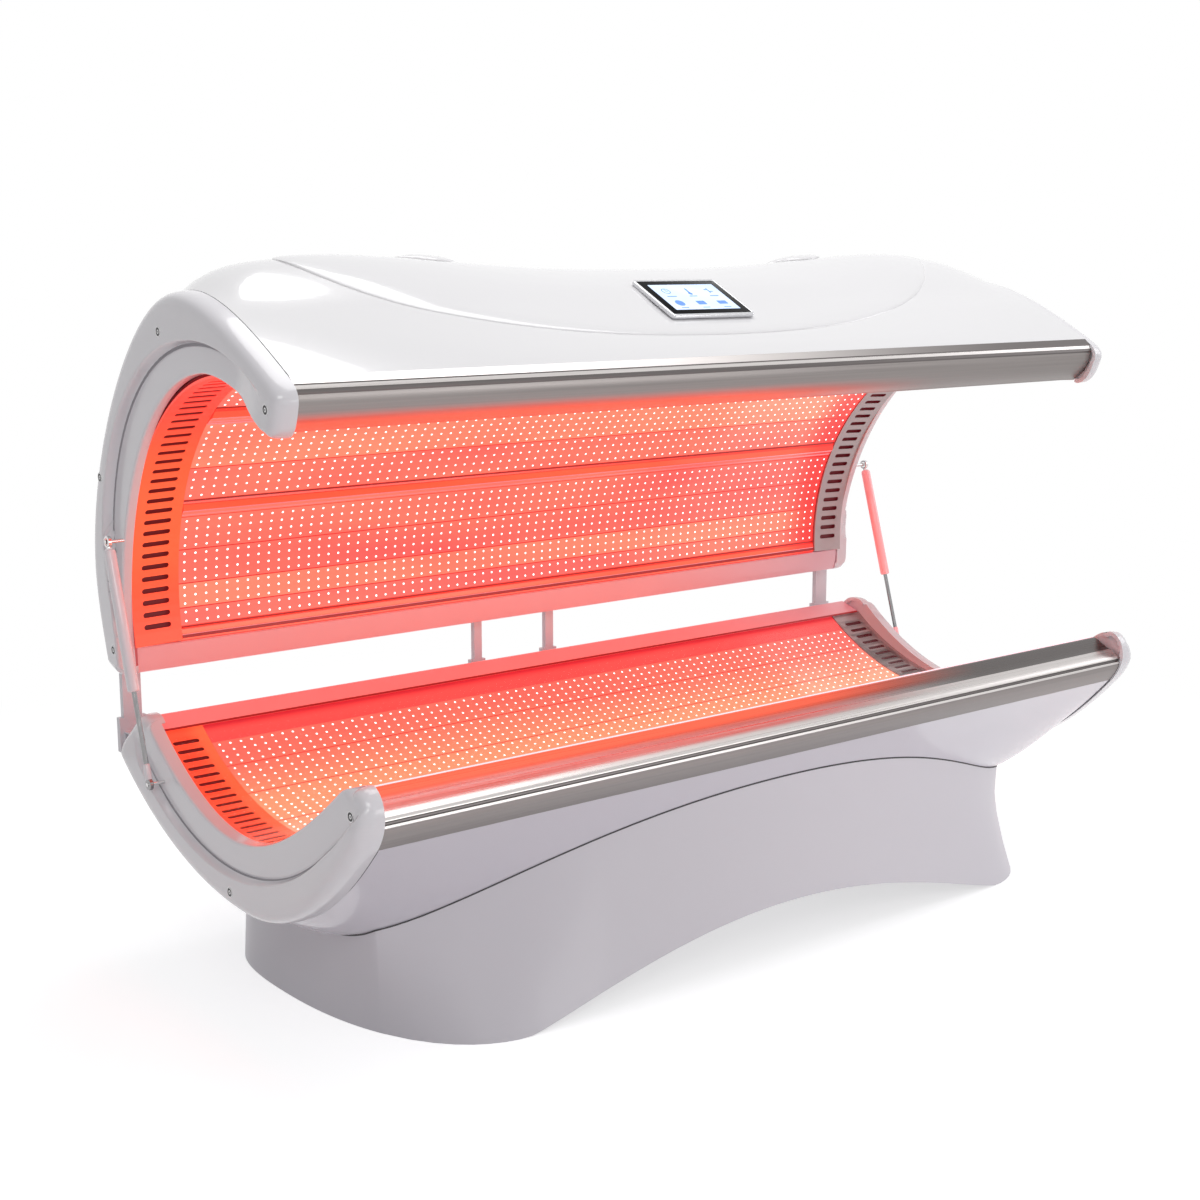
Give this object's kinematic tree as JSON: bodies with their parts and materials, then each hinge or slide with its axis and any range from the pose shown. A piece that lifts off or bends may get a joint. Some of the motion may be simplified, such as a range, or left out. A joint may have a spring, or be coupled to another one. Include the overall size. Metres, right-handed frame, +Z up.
{
  "type": "light therapy bed",
  "caption": "Full-length lie-down light therapy bed: a curved lit tub on a moulded arched plinth and a lit canopy that swings up on rear hinges with gas struts.",
  "frame": {"origin": "on the floor, at mid length and at the middle of the depth, under the bed with its canopy open", "axes": "+X along the bed to its right end seen from the open front, +Y from the open front to the hinged rear, +Z up"},
  "size_m": [2.2756, 1.062, 1.4713],
  "materials": {
    "white_casing": "glossy moulded white plastic",
    "white_cap": "glossy moulded white plastic",
    "white_rail": "white painted extrusion, satin",
    "white_paint": "white powder coat",
    "brushed_rail": "steel brushed along its length",
    "grey_steel": "grey painted steel tube",
    "black_rubber": "black rubber",
    "rib_board": "moulded structural ribs",
    "grille_sheet": "satin aluminium sheet with slots",
    "red_reflector": "bright folded aluminium sheet in red light",
    "led_board": "aluminium backed light boards in red light",
    "clear_acrylic": "clear acrylic",
    "bright_steel": "bright steel",
    "strut_steel": "polished rod",
    "strut_white": "white painted cylinder",
    "black_plastic": "black plastic",
    "grey_plastic": "light grey plastic",
    "red_plastic": "red switch rocker",
    "plain_aluminium": "folded aluminium case",
    "screen_frame": "satin silver frame",
    "screen_face": "black glass with a lit display",
    "circuit_board": "green circuit board"
  },
  "bodies": {
    "bed_base": {"base_front_shell": "white_casing", "base_rear_panel": "white_casing", "base_frame": "grey_steel", "levelling_feet": "black_rubber", "tub_shell": "white_casing", "tub_front_rail": "brushed_rail", "tub_rear_rail": "white_rail", "tub_ribs": "rib_board", "tub_end_cap_left": "white_cap", "tub_end_cap_right": "white_cap", "tub_grille_left": "grille_sheet", "tub_grille_right": "grille_sheet", "tub_reflector": "red_reflector", "tub_led_board_front": "led_board", "tub_led_board_centre": "led_board", "tub_led_board_rear": "led_board", "acrylic_sheet": "clear_acrylic", "tub_cap_screws": "bright_steel", "tub_fan_frames": "black_plastic", "power_supplies": "plain_aluminium", "control_box": "grey_plastic", "mains_inlet": "black_plastic", "hinge_beam": "white_paint", "hinge_posts": "white_paint", "hinge_pins": "bright_steel", "strut_studs_tub": "bright_steel", "cable_gland_tub": "black_plastic"},
    "canopy": {"canopy_shell": "white_casing", "canopy_top_cover": "white_casing", "canopy_front_rail": "brushed_rail", "canopy_rear_rail": "white_rail", "canopy_ribs": "rib_board", "canopy_end_cap_left": "white_cap", "canopy_end_cap_right": "white_cap", "canopy_grille_left": "grille_sheet", "canopy_grille_right": "grille_sheet", "canopy_reflector": "red_reflector", "canopy_led_board_lower": "led_board", "canopy_led_board_middle": "led_board", "canopy_led_board_upper": "led_board", "canopy_hinge_brackets": "white_paint", "canopy_cap_screws": "bright_steel", "canopy_fan_frames": "black_plastic", "fan_outlet_covers": "white_cap", "screen_bezel": "screen_frame", "screen_glass": "screen_face", "screen_board": "circuit_board", "strut_studs_canopy": "bright_steel", "cable_gland_canopy": "black_plastic"},
    "strut_rod_left": {"strut_rod_left": "strut_steel"},
    "strut_rod_right": {"strut_rod_right": "strut_steel"},
    "strut_cylinder_left": {"strut_cylinder_left": "strut_white"},
    "strut_cylinder_right": {"strut_cylinder_right": "strut_white"},
    "tub_fan_rotor_left": {"tub_fan_rotor_left": "black_plastic"},
    "tub_fan_rotor_right": {"tub_fan_rotor_right": "black_plastic"},
    "canopy_fan_rotor_left": {"canopy_fan_rotor_left": "black_plastic"},
    "canopy_fan_rotor_right": {"canopy_fan_rotor_right": "black_plastic"},
    "power_switch_rocker": {"power_switch_rocker": "red_plastic"}
  },
  "joints": [
    {"name": "canopy_hinge", "type": "hinge", "parent": "bed_base", "child": "canopy", "pos_m": [0, 0.487, 0.62], "axis": [1, 0, 0], "range_deg": [0, 35]},
    {"name": "strut_pivot_left", "type": "hinge", "parent": "bed_base", "child": "strut_rod_left", "pos_m": [-1.112, 0.251, 0.415], "axis": [1, 0, 0], "range_deg": [-1, 17.5]},
    {"name": "strut_slide_left", "type": "slide", "parent": "strut_rod_left", "child": "strut_cylinder_left", "axis": [0, 0.2892, 0.9573], "range_m": [-0.124, 0.002]},
    {"name": "strut_pivot_right", "type": "hinge", "parent": "bed_base", "child": "strut_rod_right", "pos_m": [1.112, 0.251, 0.415], "axis": [1, 0, 0], "range_deg": [-1, 17.5]},
    {"name": "strut_slide_right", "type": "slide", "parent": "strut_rod_right", "child": "strut_cylinder_right", "axis": [0, 0.2892, 0.9573], "range_m": [-0.124, 0.002]},
    {"name": "tub_fan_spin_left", "type": "hinge", "parent": "bed_base", "child": "tub_fan_rotor_left", "pos_m": [-0.925, -0.06, 0.29393], "axis": [1, 0, 0], "continuous": true},
    {"name": "canopy_fan_spin_left", "type": "hinge", "parent": "canopy", "child": "canopy_fan_rotor_left", "pos_m": [-0.53, 0.12, 1.355], "axis": [0, 0, 1], "continuous": true},
    {"name": "tub_fan_spin_right", "type": "hinge", "parent": "bed_base", "child": "tub_fan_rotor_right", "pos_m": [0.925, -0.06, 0.29393], "axis": [1, 0, 0], "continuous": true},
    {"name": "canopy_fan_spin_right", "type": "hinge", "parent": "canopy", "child": "canopy_fan_rotor_right", "pos_m": [0.53, 0.12, 1.355], "axis": [0, 0, 1], "continuous": true},
    {"name": "power_switch_rock", "type": "hinge", "parent": "bed_base", "child": "power_switch_rocker", "pos_m": [0.7, 0.332, 0.169], "axis": [1, 0, 0], "range_deg": [-6, 6]}
  ],
  "couplings": [
    {"joint": "strut_pivot_left", "follows": "canopy_hinge", "ratio": 0.46624},
    {"joint": "strut_slide_left", "follows": "canopy_hinge", "m_per_rad": -0.19607},
    {"joint": "strut_pivot_right", "follows": "canopy_hinge", "ratio": 0.46624},
    {"joint": "strut_slide_right", "follows": "canopy_hinge", "m_per_rad": -0.19607}
  ]
}
